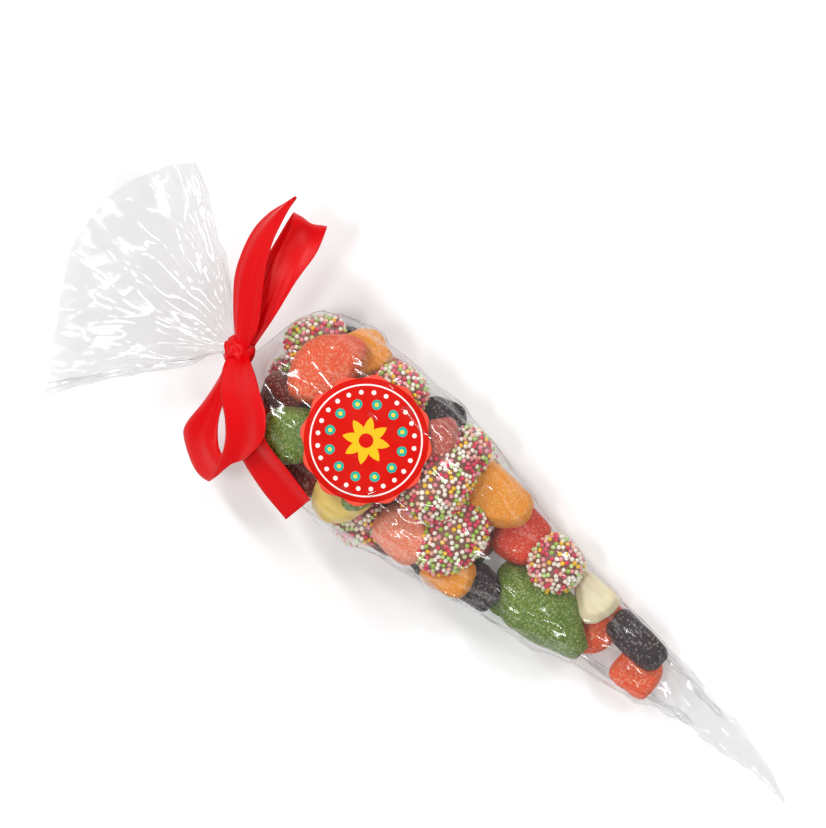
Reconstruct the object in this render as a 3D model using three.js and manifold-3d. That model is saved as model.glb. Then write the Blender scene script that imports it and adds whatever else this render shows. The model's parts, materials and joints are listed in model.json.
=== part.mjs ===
// A pointed bag of clear film, filled with mixed sweets and lying on its side.
// It is tied at the neck with a satin bow and carries a scalloped round sticker.
// Millimetres, +Z up. The bag's axis runs along X and its point is the +X end.
// Lengths along the bag are measured from the point, so a place at `along` has x = -along,
// until the last step moves the whole bag over the origin.

import * as THREE from "three";
import { mergeVertices } from "three/addons/utils/BufferGeometryUtils.js";
import Module from "manifold-3d";

const wasm = await Module();
wasm.setup();

// ---- Driving sizes ----

// The filled bag, one row per section: along, right edge, left edge, lowest, highest.
// A lowest value under the table is pressed flat against it.
const BAG_SECTIONS = [
  [0, -0.6, 0.6, 0, 1.2],
  [8.8, 0.5, 4.6, 0, 1.8],
  [18, 1.2, 7.6, -0.2, 3],
  [30.6, -0.4, 11.2, -0.6, 6],
  [44.7, -1.8, 13.8, -1.2, 11],
  [61.9, -4.8, 18, -2, 19.5],
  [85.6, -10.2, 20.8, -3, 27],
  [113.8, -15.7, 24.6, -3, 34],
  [147, -21.2, 30.3, -3, 43],
  [177.6, -26.2, 38, -3.5, 52],
  [196, -29, 40.8, -3.5, 56],
  [219.7, -30.9, 41.4, -3.5, 58],
  [236.8, -30.2, 41.6, -3.5, 58],
  [246.4, -28.3, 41.2, -3, 56.5],
  [254, -23.8, 38.6, -0.5, 53],
  [260.9, -16, 31.5, 4, 46],
  [265.5, -8.4, 24.4, 13, 39],
];
const FILM_WALL = 0.45;
const FIRST_HOLLOW_SECTION = 3;
const SQUARENESS = 0.88; // 1 is a true ellipse, less is fuller at the corners
const FILM_AROUND = 36;
const SHOULDER_PLEATS = 9;
const PLEAT_DEPTH = 0.05;

// The neck is a gathered bundle with a narrow way through it.
const NECK_START = 269.5;
const NECK_LONG = 9.8;
const NECK_END = NECK_START + NECK_LONG;
const NECK_MIDDLE = NECK_START + NECK_LONG / 2;
const NECK_SIDE = 1.5;
const NECK_RADIUS = 4.5;
const [, , , shoulderLow, shoulderHigh] = BAG_SECTIONS.at(-1);
const NECK_HEIGHT = (shoulderLow + shoulderHigh) / 2;
const NECK_BORE_SHARE = 0.36;

// The free film behind the neck opens like a fan. Its mouth is given as the distance from
// the neck, from the left edge of the fan over its upper layer and back under the lower one.
const FAN_MIDDLE = THREE.MathUtils.degToRad(-6.5);
const FAN_HALF = THREE.MathUtils.degToRad(45.5);
const FAN_MOUTH = [71.5, 71, 72, 70, 66, 66, 73, 68, 66, 73, 81, 76];
const FAN_RINGS = [0.14, 0.3, 0.48, 0.66, 0.84, 1];
const FAN_MOUTH_HEIGHT = 17;
const FAN_MOUTH_HALF_THICK = 14;
const FAN_FOLDS = 5;
const FAN_FOLD_DEPTH = 0.16;

const RIBBON_THICK = 0.5;
const RIBBON_WRAP_WIDTH = 7.6;
const RIBBON_WRAP_THICK = 1.1;
const CLEARANCE = 0.3;
const KNOT_SIZE = [12, 10.5, 9];

const STICKER_DIAMETER = 50;
const STICKER_SCALLOPS = 12;
const STICKER_SCALLOP_DEPTH = 1.5;
const STICKER_THICK = 0.3;
const STICKER_LIFT = 0.65; // over the highest film near each point
const STICKER_AT = [215, 6.3];
const STICKER_POINTS = 48;
const STICKER_RINGS = [0.34, 0.68, 1];

const RED_SATIN = { color: 0xd8000f, roughness: 0.35, metalness: 0 };
const CLEAR_FILM = { color: 0xf2f2f4, roughness: 0.08, metalness: 0 };
const STICKER_RED = { color: 0xd81200, roughness: 0.45, metalness: 0 };

// ---- Solids from rings of points ----

// Joins rings of equal length into one closed skin. The first and last ring are capped with
// a fan about their middles, or about the given end points.
function skinOfRings(rings, firstPoint, lastPoint) {
  const around = rings[0].length;
  const points = rings.flat();
  const faces = [];
  for (let r = 0; r + 1 < rings.length; r++) {
    for (let i = 0; i < around; i++) {
      const j = (i + 1) % around;
      const [a, b] = [r * around + i, r * around + j];
      const [c, d] = [a + around, b + around];
      faces.push(a, b, d, a, d, c);
    }
  }
  const cap = (ring, point, turned) => {
    const middle = point ?? meanOf(rings[ring]);
    points.push(middle);
    const centre = points.length - 1;
    for (let i = 0; i < around; i++) {
      const a = ring * around + i;
      const b = ring * around + ((i + 1) % around);
      faces.push(...(turned ? [centre, b, a] : [centre, a, b]));
    }
  };
  cap(0, firstPoint, true);
  cap(rings.length - 1, lastPoint, false);
  return geometryOf(points, faces);
}

function meanOf(points) {
  const sum = points.reduce((total, p) => total.add(p), new THREE.Vector3());
  return sum.divideScalar(points.length);
}

function geometryOf(points, faces) {
  const geometry = new THREE.BufferGeometry();
  geometry.setFromPoints(points);
  geometry.setIndex(faces);
  geometry.computeVertexNormals();
  return geometry;
}

// Turns a geometry the right way out when its signed volume is negative.
function facingOut(geometry) {
  if (volumeOf(geometry) > 0) return geometry;
  const index = geometry.index;
  for (let f = 0; f < index.count; f += 3) {
    const keep = index.getX(f + 1);
    index.setX(f + 1, index.getX(f + 2));
    index.setX(f + 2, keep);
  }
  geometry.computeVertexNormals();
  return geometry;
}

function volumeOf(geometry) {
  const [p, q, r] = [new THREE.Vector3(), new THREE.Vector3(), new THREE.Vector3()];
  const place = geometry.attributes.position;
  const index = geometry.index;
  let six = 0;
  for (let f = 0; f < index.count; f += 3) {
    p.fromBufferAttribute(place, index.getX(f));
    q.fromBufferAttribute(place, index.getX(f + 1));
    r.fromBufferAttribute(place, index.getX(f + 2));
    six += p.dot(q.cross(r));
  }
  return six / 6;
}

function joined(geometries) {
  const solids = geometries.map((geometry) => {
    const merged = mergeVertices(geometry.clone().deleteAttribute("normal").deleteAttribute("uv"));
    return new wasm.Manifold(
      new wasm.Mesh({
        numProp: 3,
        vertProperties: merged.attributes.position.array,
        triVerts: new Uint32Array(merged.index.array),
      }),
    );
  });
  const mesh = wasm.Manifold.union(solids).getMesh();
  const geometry = new THREE.BufferGeometry();
  geometry.setAttribute("position", new THREE.BufferAttribute(mesh.vertProperties, 3));
  geometry.setIndex(new THREE.BufferAttribute(mesh.triVerts, 1));
  geometry.computeVertexNormals();
  return geometry;
}

// ---- The film ----

const rounded = (v) => Math.sign(v) * Math.abs(v) ** SQUARENESS;
const turnOf = (i) => (2 * Math.PI * i) / FILM_AROUND;

function bagRing([along, right, left, low, high]) {
  const nearNeck = THREE.MathUtils.smoothstep(along, BAG_SECTIONS.at(-5)[0], NECK_START);
  return Array.from({ length: FILM_AROUND }, (_, i) => {
    const pleat = 1 + PLEAT_DEPTH * nearNeck * Math.cos(SHOULDER_PLEATS * turnOf(i));
    const side = ((left - right) / 2) * rounded(Math.cos(turnOf(i))) * pleat;
    const rise = ((high - low) / 2) * rounded(Math.sin(turnOf(i))) * pleat;
    const z = Math.max((high + low) / 2 + rise, 0);
    return new THREE.Vector3(-along, (left + right) / 2 + side, z);
  });
}

function neckRing(along, radius) {
  return Array.from({ length: FILM_AROUND }, (_, i) => {
    const y = NECK_SIDE + radius * Math.cos(turnOf(i));
    return new THREE.Vector3(-along, y, NECK_HEIGHT + radius * Math.sin(turnOf(i)));
  });
}

const mouthReach = new THREE.CatmullRomCurve3(
  FAN_MOUTH.map((reach, i) => new THREE.Vector3(i, reach, 0)),
  true,
);

function fanRing(share) {
  const middle = THREE.MathUtils.lerp(NECK_HEIGHT, FAN_MOUTH_HEIGHT, share);
  const halfThick = THREE.MathUtils.lerp(NECK_RADIUS, FAN_MOUTH_HALF_THICK, share ** 0.8);
  return Array.from({ length: FILM_AROUND }, (_, i) => {
    const [c, s] = [Math.cos(turnOf(i)), Math.sin(turnOf(i))];
    const reach = share * mouthReach.getPoint(i / FILM_AROUND).y;
    const bearing = FAN_MIDDLE + FAN_HALF * c;
    const fold = 1 + FAN_FOLD_DEPTH * Math.sin(FAN_FOLDS * turnOf(i) + share);
    return new THREE.Vector3(
      -NECK_END - reach * Math.cos(bearing),
      NECK_SIDE + NECK_RADIUS * c + reach * Math.sin(bearing),
      middle + halfThick * s * fold,
    );
  });
}

function filmParts() {
  const outer = BAG_SECTIONS.map(bagRing);
  const neckFrom = outer.length;
  outer.push(neckRing(NECK_START, NECK_RADIUS), neckRing(NECK_END, NECK_RADIUS));
  outer.push(...FAN_RINGS.map(fanRing));
  const skin = facingOut(skinOfRings(outer));
  const normal = new THREE.Vector3();
  const inner = outer.map((ring, r) => {
    const inNeck = r >= neckFrom && r < neckFrom + 2;
    const middle = meanOf(ring);
    return ring.map((point, i) => {
      if (inNeck) return middle.clone().lerp(point, NECK_BORE_SHARE);
      normal.fromBufferAttribute(skin.attributes.normal, r * FILM_AROUND + i);
      return point.clone().addScaledVector(normal, -FILM_WALL);
    });
  });
  const hollow = inner.slice(FIRST_HOLLOW_SECTION);
  const lastRing = outer.length - 1;
  for (let i = 0; i < FILM_AROUND; i++) {
    inner[lastRing][i].x = outer[lastRing][i].x;
  }
  const points = [...outer.flat(), ...hollow.flat()];
  const faces = [];
  const addWall = (from, rings, turned) => {
    for (let r = 0; r + 1 < rings; r++) {
      for (let i = 0; i < FILM_AROUND; i++) {
        const a = from + r * FILM_AROUND + i;
        const b = from + r * FILM_AROUND + ((i + 1) % FILM_AROUND);
        const [c, d] = [a + FILM_AROUND, b + FILM_AROUND];
        faces.push(...(turned ? [a, d, b, a, c, d] : [a, b, d, a, d, c]));
      }
    }
  };
  const addCap = (from, turned) => {
    points.push(meanOf(points.slice(from, from + FILM_AROUND)));
    const centre = points.length - 1;
    for (let i = 0; i < FILM_AROUND; i++) {
      const [a, b] = [from + i, from + ((i + 1) % FILM_AROUND)];
      faces.push(...(turned ? [centre, b, a] : [centre, a, b]));
    }
  };
  const innerFrom = outer.length * FILM_AROUND;
  addWall(0, outer.length, false);
  addWall(innerFrom, hollow.length, true);
  addCap(0, true);
  addCap(innerFrom, false);
  const outerMouth = lastRing * FILM_AROUND;
  const innerMouth = innerFrom + (hollow.length - 1) * FILM_AROUND;
  for (let i = 0; i < FILM_AROUND; i++) {
    const j = (i + 1) % FILM_AROUND;
    const [a, b, c, d] = [outerMouth + i, outerMouth + j, innerMouth + i, innerMouth + j];
    faces.push(a, b, d, a, d, c);
  }
  const bagHollow = hollow.slice(0, neckFrom - FIRST_HOLLOW_SECTION);
  return {
    film: facingOut(geometryOf(points, faces)),
    outside: skin,
    hollow: facingOut(skinOfRings(bagHollow)),
  };
}

// ---- Heights over the table ----

const CELL = 0.5;
const cellOf = (v) => Math.round(v / CELL);

// For every cell of the plan that a skin covers: its lowest and its highest height there.
function heightsOf(geometry) {
  const found = new Map();
  const place = geometry.attributes.position;
  const index = geometry.index;
  const corner = [new THREE.Vector3(), new THREE.Vector3(), new THREE.Vector3()];
  for (let f = 0; f < index.count; f += 3) {
    corner.forEach((v, n) => v.fromBufferAttribute(place, index.getX(f + n)));
    const [a, b, c] = corner;
    const area = (b.x - a.x) * (c.y - a.y) - (c.x - a.x) * (b.y - a.y);
    if (Math.abs(area) < 1e-9) continue;
    const xs = corner.map((v) => v.x);
    const ys = corner.map((v) => v.y);
    for (let i = Math.ceil(Math.min(...xs) / CELL); i * CELL <= Math.max(...xs); i++) {
      for (let j = Math.ceil(Math.min(...ys) / CELL); j * CELL <= Math.max(...ys); j++) {
        const [x, y] = [i * CELL, j * CELL];
        const v = ((x - a.x) * (c.y - a.y) - (c.x - a.x) * (y - a.y)) / area;
        const w = ((b.x - a.x) * (y - a.y) - (x - a.x) * (b.y - a.y)) / area;
        if (v < 0 || w < 0 || v + w > 1) continue;
        const z = a.z + v * (b.z - a.z) + w * (c.z - a.z);
        const key = keyOf(i, j);
        const known = found.get(key) ?? { i, j, low: z, high: z };
        known.low = Math.min(known.low, z);
        known.high = Math.max(known.high, z);
        found.set(key, known);
      }
    }
  }
  return found;
}

const ROW = 4096;
const keyOf = (i, j) => (i + ROW) * ROW * 2 + (j + ROW);

// ---- The sweets ----

// Outlines in plan, as distances from the middle at equal steps around it.
const OUTLINES = {
  round: { points: 12, power: 1 },
  block: { points: 12, power: 0.62 },
  wedge: { points: 12, power: 0.66, taper: 0.24 },
  tri: { points: 12, power: 0.8, taper: 0.55 },
  lobed: { points: 20, power: 0.8, lobes: 4, lobeDepth: 0.13 },
};
// Profiles: share of the outline and share of the height, from the base to the top.
const PROFILES = {
  slab: [[0.84, 0], [1, 0.2], [0.97, 0.72], [0.8, 1]],
  dome: [[0.9, 0], [1, 0.16], [0.84, 0.62], [0.48, 0.94]],
  pillow: [[0.7, 0], [1, 0.36], [1, 0.64], [0.7, 1]],
};
const CROWN = 0.04;

function sweetGeometry({ outline, profile, size }) {
  const { points, power, taper = 0, lobes = 0, lobeDepth = 0 } = OUTLINES[outline];
  const bent = (v) => Math.sign(v) * Math.abs(v) ** power;
  const rings = PROFILES[profile].map(([wide, tall]) =>
    Array.from({ length: points }, (_, i) => {
      const a = (2 * Math.PI * (i + 0.5)) / points;
      const across = bent(Math.sin(a)) * (1 - taper * bent(Math.cos(a)));
      const reach = (wide * (1 + lobeDepth * Math.cos(lobes * a))) / 2;
      return new THREE.Vector3(
        size[0] * reach * bent(Math.cos(a)),
        size[1] * reach * across,
        size[2] * (tall - 0.5),
      );
    }),
  );
  const top = new THREE.Vector3(0, 0, size[2] * (0.5 + CROWN));
  return facingOut(skinOfRings(rings, undefined, top));
}

const SUGARED = { roughness: 0.85, metalness: 0 };
const COLOURS = {
  orange: { color: 0xe8602c, ...SUGARED },
  red: { color: 0xd9401c, ...SUGARED },
  amber: { color: 0xe09a1e, ...SUGARED },
  green: { color: 0x6f8a2c, ...SUGARED },
  darkRed: { color: 0x7a1d10, ...SUGARED },
  purple: { color: 0x3a1f2c, ...SUGARED },
  rose: { color: 0xb9604f, ...SUGARED },
  salmon: { color: 0xe89a7c, ...SUGARED },
  beaded: { color: 0xe6d6c0, roughness: 0.5, metalness: 0 },
  cream: { color: 0xf6ecc8, roughness: 0.6, metalness: 0 },
  yellow: { color: 0xf0d66a, roughness: 0.6, metalness: 0 },
};

// How far a sweet may be moved from its wished place, in steps, until it fits.
const ROAM = [0, 1.5, 3, 4.5, 6, 8];
const ROAM_BEARINGS = 12;
const PIECE_MARGIN = 0.22; // half of the least room between two sweets
const HEIGHT_WORTH = 0.6; // how much a better height is worth against a nearer place

const block = (w, l, h) => ({ outline: "block", profile: "slab", size: [w, l, h] });
const wedge = (w, l, h) => ({ outline: "wedge", profile: "slab", size: [w, l, h] });
const disc = (d, h) => ({ outline: "round", profile: "dome", size: [d, d, h] });
const foam = (w, l, h) => ({ outline: "tri", profile: "pillow", size: [w, l, h] });
const lobed = (w, l, h) => ({ outline: "lobed", profile: "dome", size: [w, l, h] });

// The sweets that show, from the uppermost down: name, shape, colour, along, side,
// turn about the upright axis and lean to the side, both in degrees.
const SHOWN = [
  ["jelly_orange_top", block(21, 20, 13), "orange", 243.8, 13.5, 25, 4],
  ["jelly_amber_top", block(19, 17, 12), "amber", 237, 30, 60, 16],
  ["disc_top", disc(20, 11), "beaded", 218, 30, 0, 20],
  ["disc_big", disc(23, 12), "beaded", 184, 7.5, 0, 0],
  ["disc_second", disc(21, 11), "beaded", 166, 1, 0, -8],
  ["jelly_amber_wedge", wedge(25, 18, 12), "amber", 161.5, 20, 20, 12],
  ["jelly_rose", block(14, 12, 10), "rose", 193.5, 22, 40, 10],
  ["disc_mid", disc(17, 10), "beaded", 179.5, 28, 0, 18],
  ["jelly_salmon", wedge(21, 17, 11), "salmon", 181, -11, -30, -14],
  ["disc_front", disc(19, 11), "beaded", 128.5, 15.5, 0, 10],
  ["jelly_lobed", lobed(38, 21, 12), "green", 121.5, -2, -8, -8],
  ["foam_cream", foam(18, 13, 10), "cream", 112, 13, 160, 12],
  ["jelly_red", block(18, 17, 12), "red", 146, 13.5, 5, 6],
  ["jelly_green", block(20, 17, 12), "green", 238.5, -9, 35, -12],
  ["foam_yellow", foam(20, 17, 11), "yellow", 208, -19, 30, -18],
  ["jelly_under_one", block(20, 17, 11), "orange", 222, 8, 20, 0],
  ["jelly_green_under", block(16, 14, 11), "green", 200, -7, 50, -4],
  ["jelly_under_two", block(18, 16, 11), "amber", 207, 12, 60, 0],
  ["jelly_purple_tip", block(24, 12, 10), "purple", 85, 12, -4, 8],
  ["jelly_orange_end", block(17, 9.5, 8), "orange", 77, 0, -10, -6],
  ["jelly_orange_tip", block(14, 11, 8), "orange", 99, 10, 20, 6],
  ["jelly_amber_low", block(18, 14, 11), "amber", 158, -15, 15, -14],
  ["disc_low", disc(19, 10), "beaded", 195, -20, 0, -20],
  ["jelly_purple_top", block(17, 12, 10), "purple", 198.5, 31, 30, 20],
  ["disc_shoulder", disc(18, 10), "beaded", 251, 24, 0, 14],
  ["jelly_brown", block(16, 15, 11), "darkRed", 225, -20, 10, -18],
  ["jelly_darkred", block(17, 14, 11), "darkRed", 250, 0, 20, -8],
  ["jelly_purple_low", block(16, 13, 10), "purple", 145, -8, -8, -8],
  ["jelly_darkgreen", block(14, 11, 8), "green", 134, -9, 20, -14],
  ["jelly_darkred_back", block(14, 12, 10), "darkRed", 157, 6, 30, 0],
];

// The sweets that don't show are let in under them, row by row, until the bag is full.
const HIDDEN_COLOURS = ["orange", "purple", "beaded", "green", "amber", "darkRed", "cream", "red"];
const HIDDEN_SIZES = [[22, 19, 14], [20, 17, 12.5], [18, 15, 11], [16, 14, 9.5]];
const HIDDEN_ROWS = { from: 250, to: 90, step: 11, across: [-0.3, 0.3, -0.1, 0.1], turn: 70 };
const HIDDEN_LAYERS = 3;

function sectionAt(along) {
  const next = BAG_SECTIONS.findIndex((row) => row[0] > along);
  const [a, b] = [BAG_SECTIONS[next - 1], BAG_SECTIONS[next]];
  const share = (along - a[0]) / (b[0] - a[0]);
  return [THREE.MathUtils.lerp(a[1], b[1], share), THREE.MathUtils.lerp(a[2], b[2], share)];
}

// The room inside the bag: for each cell the height of what lies there and of the film over it.
// Each is taken at its worst over the neighbouring cells, so that a steep wall isn't missed.
function roomInside(hollow) {
  const raw = heightsOf(hollow);
  const room = new Map();
  for (const [key, { i, j }] of raw) {
    let [floor, ceiling] = [-Infinity, Infinity];
    for (let di = -1; di <= 1; di++) {
      for (let dj = -1; dj <= 1; dj++) {
        const near = raw.get(keyOf(i + di, j + dj));
        floor = near ? Math.max(floor, near.low) : Infinity;
        ceiling = near ? Math.min(ceiling, near.high) : -Infinity;
      }
    }
    if (floor < ceiling) room.set(key, { floor, ceiling });
  }
  return room;
}

function grownBy(geometry, margin) {
  const grown = geometry.clone();
  const [place, normal] = [grown.attributes.position, grown.attributes.normal];
  for (let i = 0; i < place.count; i++) {
    place.setXYZ(
      i,
      place.getX(i) + margin * normal.getX(i),
      place.getY(i) + margin * normal.getY(i),
      place.getZ(i) + margin * normal.getZ(i),
    );
  }
  return grown;
}

// The height at which a sweet rests at a cell of the plan, or with `hung` the height at which
// it touches what is over it. Null where there is too little room for it.
function heightAt(cells, room, di, dj, hung) {
  let [lowest, highest] = [-Infinity, Infinity];
  for (const { i, j, low, high } of cells) {
    const here = room.get(keyOf(i + di, j + dj));
    if (!here) return null;
    lowest = Math.max(lowest, here.floor - low);
    highest = Math.min(highest, here.ceiling - high);
    if (lowest > highest) return null;
  }
  return hung ? highest : lowest;
}

function shapedSweet([name, shape, colour, along, side, turn, lean]) {
  const geometry = sweetGeometry(shape);
  geometry.rotateZ(THREE.MathUtils.degToRad(turn));
  geometry.rotateX(THREE.MathUtils.degToRad(-lean));
  const cells = [...heightsOf(grownBy(geometry, PIECE_MARGIN)).values()];
  return { name, colour, along, side, geometry, cells };
}

// Finds the nearest good place for a sweet: hung from what is over it, or resting.
function placeFor({ cells, along, side }, room, hung) {
  let best = null;
  for (const roam of ROAM) {
    for (let b = 0; b < (roam ? ROAM_BEARINGS : 1); b++) {
      const bearing = (2 * Math.PI * b) / ROAM_BEARINGS;
      const di = cellOf(-along + roam * Math.cos(bearing));
      const dj = cellOf(side + roam * Math.sin(bearing));
      const height = heightAt(cells, room, di, dj, hung);
      if (height === null) continue;
      const cost = roam + HEIGHT_WORTH * (hung ? -height : height);
      if (!best || cost < best.cost) best = { cost, di, dj, height };
    }
  }
  return best;
}

// Takes the space of a sweet from the room, from over it or from under it.
function takeRoom({ cells }, { di, dj, height }, room, hung) {
  for (const { i, j, low, high } of cells) {
    const here = room.get(keyOf(i + di, j + dj));
    if (hung) here.ceiling = Math.min(here.ceiling, height + low);
    else here.floor = Math.max(here.floor, height + high);
  }
}

function sweetMesh({ name, colour, geometry }, { di, dj, height }) {
  geometry.translate(di * CELL, dj * CELL, height);
  return meshOf(name, geometry, COLOURS[colour]);
}

// The sweets that show take their places under the film. The hidden ones fill the room that is
// left under them, and at last each sweet that shows is let down on what lies below it.
function fillBag(hollow) {
  const room = roomInside(hollow);
  const shown = SHOWN.map((row) => {
    const sweet = shapedSweet(row);
    const place = placeFor(sweet, room, true);
    if (!place) throw new Error(`${sweet.name} finds no room in the bag`);
    takeRoom(sweet, place, room, true);
    return [sweet, place];
  });
  const meshes = [];
  for (let layer = 0; layer < HIDDEN_LAYERS; layer++) {
    for (const row of hiddenRows(layer)) {
      const colour = HIDDEN_COLOURS[meshes.length % HIDDEN_COLOURS.length];
      const name = `inner_${String(meshes.length + 1).padStart(2, "0")}`;
      for (const size of HIDDEN_SIZES) {
        const shape = colour === "beaded" ? disc(size[1], size[2]) : block(...size);
        const sweet = shapedSweet([name, shape, colour, ...row, 0]);
        const place = placeFor(sweet, room, false);
        if (!place) continue;
        takeRoom(sweet, place, room, false);
        meshes.push(sweetMesh(sweet, place));
        break;
      }
    }
  }
  for (const [sweet, place] of shown.toReversed()) {
    const down = { ...place, height: -Infinity };
    for (const { i, j, low } of sweet.cells) {
      const here = room.get(keyOf(i + place.di, j + place.dj));
      down.height = Math.max(down.height, here.floor - low);
    }
    takeRoom(sweet, down, room, false);
    meshes.push(sweetMesh(sweet, down));
  }
  return meshes;
}

function hiddenRows(layer) {
  const rows = [];
  const { from, to, step, across, turn } = HIDDEN_ROWS;
  for (let along = from - (layer % 2) * (step / 2); along >= to; along -= step) {
    const [right, left] = sectionAt(along);
    for (const share of across) {
      rows.push([along, (left + right) / 2 + share * (left - right), turn * share]);
    }
  }
  return rows;
}

// ---- The ribbon ----

// Stations of a band: its two edges, each as along, side, height from the neck's middle.
const KNOT_AT = [0, 0.8, 9];
const FRONT_LOOP = [
  [[-2.4, 2.5, 9], [2.6, -1.5, 9]],
  [[-9.9, -1.9, 20.5], [-0.6, -9.5, 13]],
  [[-16.8, -6.5, 30], [-5.8, -16.5, 18.5]],
  [[-24.4, -11.9, 34], [-13.4, -23.1, 22]],
  [[-29.4, -19.9, 32], [-19.2, -31.1, 19]],
  [[-28.4, -28.5, 24], [-23, -43.5, 9]],
  [[-25.8, -32, 16], [-20.8, -46.1, 1]],
  [[-22.4, -34, 11], [-13.9, -45, -4.5]],
  [[-19, -33.9, 7], [-4.4, -39.1, -8.5]],
  [[-15, -30.9, 3.5], [-1.6, -34.1, -7.5]],
  [[-10.2, -24.2, 2], [-1.4, -23, -4]],
  [[-6, -13.3, 4], [0, -11.5, 1.5]],
  [[-1.9, -3.5, 7], [2.1, -2.5, 7]],
];
const BACK_LOOP = [
  [[-2.9, 3.5, 9], [2.6, 1.5, 9]],
  [[-2, 18.1, 6], [8.2, 17.1, 6]],
  [[-0.2, 34.1, 4], [13.8, 31.5, 3]],
  [[2, 48.5, 6], [16.2, 44.9, 4]],
  [[3.6, 56.9, 11], [17.2, 54.1, 8.5]],
  [[2.8, 56.5, 15.5], [15.6, 51.9, 14.5]],
  [[0, 47.5, 19], [13.2, 43.5, 17.5]],
  [[-0.8, 34.5, 19], [10.2, 31.5, 17.5]],
  [[-2.8, 18.5, 15], [5.2, 16.5, 14]],
  [[-3.8, 5.5, 10], [2.6, 3.5, 10]],
];
const LONG_TAIL = [
  [[-2.9, 1.5, 10.5], [2.6, 1.5, 10.5]],
  [[-1, 11.5, 18], [9.6, 8.9, 13]],
  [[6.2, 23.5, 23], [18, 20.1, 15]],
  [[11.6, 32.5, 25.5], [22, 29.5, 17.5]],
  [[15.2, 40.5, 27], [24.2, 39.5, 19]],
  [[17.2, 48.1, 28.5], [23.4, 48.1, 21.5]],
  [[18.4, 54.5, 30], [20.6, 55.1, 27]],
  [[18.5, 58.9, 31], [19, 59.3, 31]],
];
const SHORT_TAIL = [
  [[-3.4, 1.5, 9], [0.6, -2.5, 9]],
  [[-10.8, -2.5, 19], [-3.8, -6.5, 12]],
  [[-17, -6.9, 27], [-9.8, -13.5, 17]],
  [[-23.8, -12.9, 31], [-15.4, -21.9, 19]],
  [[-30.6, -19.3, 29], [-24.6, -29.1, 17]],
  [[-44.4, -22.5, 26.6], [-39.8, -34.9, 16.6]],
  [[-57.3, -25.6, 26], [-54.8, -37.9, 16]],
];
const BAND_STEPS = 3; // samples for each station of a band

const spot = ([along, side, height]) =>
  new THREE.Vector3(-NECK_MIDDLE - along, NECK_SIDE + side, NECK_HEIGHT + height);

function band(stations) {
  const steps = BAND_STEPS * (stations.length - 1);
  const edges = [0, 1].map((e) =>
    new THREE.CatmullRomCurve3(stations.map((s) => spot(s[e])), false, "centripetal"),
  );
  const at = (e, n) => edges[e].getPoint(n / steps);
  const middle = (n) => at(0, n).add(at(1, n)).multiplyScalar(0.5);
  const rings = [];
  for (let n = 0; n <= steps; n++) {
    const [a, b] = [at(0, n), at(1, n)];
    const run = middle(Math.min(n + 1, steps)).sub(middle(Math.max(n - 1, 0)));
    const face = run.cross(b.clone().sub(a)).normalize();
    const half = RIBBON_THICK / 2;
    rings.push([
      a.clone().addScaledVector(face, half),
      b.clone().addScaledVector(face, half),
      b.clone().addScaledVector(face, -half),
      a.clone().addScaledVector(face, -half),
    ]);
  }
  return facingOut(skinOfRings(rings));
}

function wrapRound(radius) {
  const [inner, outer] = [radius, radius + RIBBON_WRAP_THICK];
  const half = RIBBON_WRAP_WIDTH / 2;
  const soft = 0.5;
  const profile = [
    [inner, -half + soft],
    [inner + soft, -half],
    [outer, -half + 2 * soft],
    [outer, half - 2 * soft],
    [inner + soft, half],
    [inner, half - soft],
    [inner, -half + soft],
  ].map(([r, y]) => new THREE.Vector2(r, y));
  const wrap = new THREE.LatheGeometry(profile, 24);
  wrap.rotateZ(Math.PI / 2);
  wrap.translate(-NECK_MIDDLE, NECK_SIDE, NECK_HEIGHT);
  return facingOut(mergeVertices(wrap.deleteAttribute("normal").deleteAttribute("uv")));
}

function ribbonGeometry() {
  const knot = new THREE.SphereGeometry(0.5, 14, 10);
  knot.scale(...KNOT_SIZE);
  knot.translate(...spot(KNOT_AT).toArray());
  const bands = [FRONT_LOOP, BACK_LOOP, LONG_TAIL, SHORT_TAIL].map(band);
  return joined([...bands, wrapRound(NECK_RADIUS + CLEARANCE), knot]);
}

// ---- The sticker ----

function stickerGeometry(outside) {
  const heights = heightsOf(outside);
  const topAt = (x, y) => {
    const [i, j] = [Math.floor(x / CELL), Math.floor(y / CELL)];
    const near = [[0, 0], [1, 0], [0, 1], [1, 1]].map(([p, q]) => heights.get(keyOf(i + p, j + q)));
    return Math.max(...near.map((cell) => cell.high));
  };
  const [x0, y0] = [-STICKER_AT[0], STICKER_AT[1]];
  const point = (angle, share, up) => {
    const wave = (STICKER_SCALLOP_DEPTH / 2) * (1 - Math.cos(STICKER_SCALLOPS * angle));
    const reach = (STICKER_DIAMETER / 2 - wave) * share;
    const [x, y] = [x0 + reach * Math.cos(angle), y0 + reach * Math.sin(angle)];
    return new THREE.Vector3(x, y, topAt(x, y) + up);
  };
  const ring = (share, up) =>
    Array.from({ length: STICKER_POINTS }, (_, i) =>
      point((2 * Math.PI * i) / STICKER_POINTS, share, up),
    );
  const [low, high] = [STICKER_LIFT, STICKER_LIFT + STICKER_THICK];
  const rings = [
    ...STICKER_RINGS.map((share) => ring(share, low)),
    ...STICKER_RINGS.toReversed().map((share) => ring(share, high)),
  ];
  return facingOut(skinOfRings(rings, point(0, 0, low), point(0, 0, high)));
}

// ---- The whole bag ----

function meshOf(name, geometry, finish) {
  const mesh = new THREE.Mesh(geometry, new THREE.MeshStandardMaterial(finish));
  mesh.name = name;
  return mesh;
}

const group = new THREE.Group();
const { film, outside, hollow } = filmParts();
group.add(meshOf("bag_film", film, CLEAR_FILM));
for (const mesh of fillBag(hollow)) group.add(mesh);
group.add(meshOf("ribbon", ribbonGeometry(), RED_SATIN));
group.add(meshOf("sticker", stickerGeometry(outside), STICKER_RED));

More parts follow.
